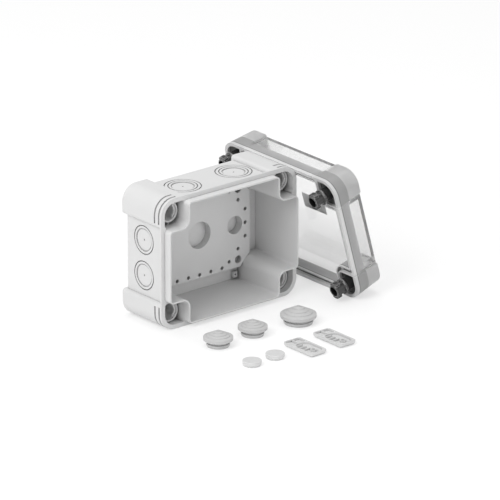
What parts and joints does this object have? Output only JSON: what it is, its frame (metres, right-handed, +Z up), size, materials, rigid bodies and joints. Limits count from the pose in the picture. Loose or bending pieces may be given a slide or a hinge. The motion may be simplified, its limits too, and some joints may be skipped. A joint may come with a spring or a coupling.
{
  "type": "junction box",
  "caption": "Surface-mounted cable junction box with knockout entries, a clear lid taken off with quarter-turn screws, stepped grommets, caps and fixing lugs.",
  "frame": {"origin": "on the floor, in the middle of the lower edge of the box's rim flange, on which it stands", "axes": "+X along the box's long side, away from the viewer's left; +Y from the opening towards the back; +Z up along the short side"},
  "size_m": [0.254, 0.2787, 0.1478],
  "materials": {
    "box_grey": "satin moulded plastic",
    "lid_clear": "clear gloss",
    "gasket_foam": "matte foam",
    "screw_black": "satin moulded plastic",
    "collar_black": "matte",
    "seal_rubber": "matte",
    "grommet_soft": "matte soft plastic",
    "cap_grey": "matte",
    "lug_grey": "satin moulded plastic"
  },
  "bodies": {
    "box": {"box_body": "box_grey"},
    "lid": {"lid": "lid_clear", "lid_gasket": "gasket_foam"},
    "screw_1": {"lid_screw_1": "screw_black", "screw_collar_1": "collar_black", "screw_seal_1": "seal_rubber"},
    "screw_2": {"lid_screw_2": "screw_black", "screw_collar_2": "collar_black", "screw_seal_2": "seal_rubber"},
    "screw_3": {"lid_screw_3": "screw_black", "screw_collar_3": "collar_black", "screw_seal_3": "seal_rubber"},
    "screw_4": {"lid_screw_4": "screw_black", "screw_collar_4": "collar_black", "screw_seal_4": "seal_rubber"},
    "grommet_m25_1_item": {"grommet_m25_1": "grommet_soft"},
    "grommet_m25_2_item": {"grommet_m25_2": "grommet_soft"},
    "grommet_m32_item": {"grommet_m32": "grommet_soft"},
    "hole_cap_1_item": {"hole_cap_1": "cap_grey"},
    "hole_cap_2_item": {"hole_cap_2": "cap_grey"},
    "fixing_lug_1_item": {"fixing_lug_1": "lug_grey"},
    "fixing_lug_2_item": {"fixing_lug_2": "lug_grey"}
  },
  "joints": [
    {"name": "lid_lift", "type": "slide", "parent": "box", "child": "lid", "axis": [0, 0, 1], "range_m": [0, 0.2]},
    {"name": "screw_1_turn", "type": "hinge", "parent": "lid", "child": "screw_1", "pos_m": [0.12337, -0.04776, 0.01657], "axis": [0.9636, -0.0084, 0.2672], "range_deg": [0, 90]},
    {"name": "screw_2_turn", "type": "hinge", "parent": "lid", "child": "screw_2", "pos_m": [0.12468, 0.10284, 0.01657], "axis": [0.9636, -0.0084, 0.2672], "range_deg": [0, 90]},
    {"name": "screw_3_turn", "type": "hinge", "parent": "lid", "child": "screw_3", "pos_m": [0.09355, -0.0475, 0.12412], "axis": [0.9636, -0.0084, 0.2672], "range_deg": [0, 90]},
    {"name": "screw_4_turn", "type": "hinge", "parent": "lid", "child": "screw_4", "pos_m": [0.09486, 0.1031, 0.12412], "axis": [0.9636, -0.0084, 0.2672], "range_deg": [0, 90]},
    {"name": "grommet_m25_1_lift", "type": "slide", "parent": "box", "child": "grommet_m25_1_item", "axis": [0, 0, 1], "range_m": [0, 0.1]},
    {"name": "grommet_m25_2_lift", "type": "slide", "parent": "box", "child": "grommet_m25_2_item", "axis": [0, 0, 1], "range_m": [0, 0.1]},
    {"name": "grommet_m32_lift", "type": "slide", "parent": "box", "child": "grommet_m32_item", "axis": [0, 0, 1], "range_m": [0, 0.1]},
    {"name": "hole_cap_1_lift", "type": "slide", "parent": "box", "child": "hole_cap_1_item", "axis": [0, 0, 1], "range_m": [0, 0.1]},
    {"name": "hole_cap_2_lift", "type": "slide", "parent": "box", "child": "hole_cap_2_item", "axis": [0, 0, 1], "range_m": [0, 0.1]},
    {"name": "fixing_lug_1_lift", "type": "slide", "parent": "box", "child": "fixing_lug_1_item", "axis": [0, 0, 1], "range_m": [0, 0.1]},
    {"name": "fixing_lug_2_lift", "type": "slide", "parent": "box", "child": "fixing_lug_2_item", "axis": [0, 0, 1], "range_m": [0, 0.1]}
  ]
}
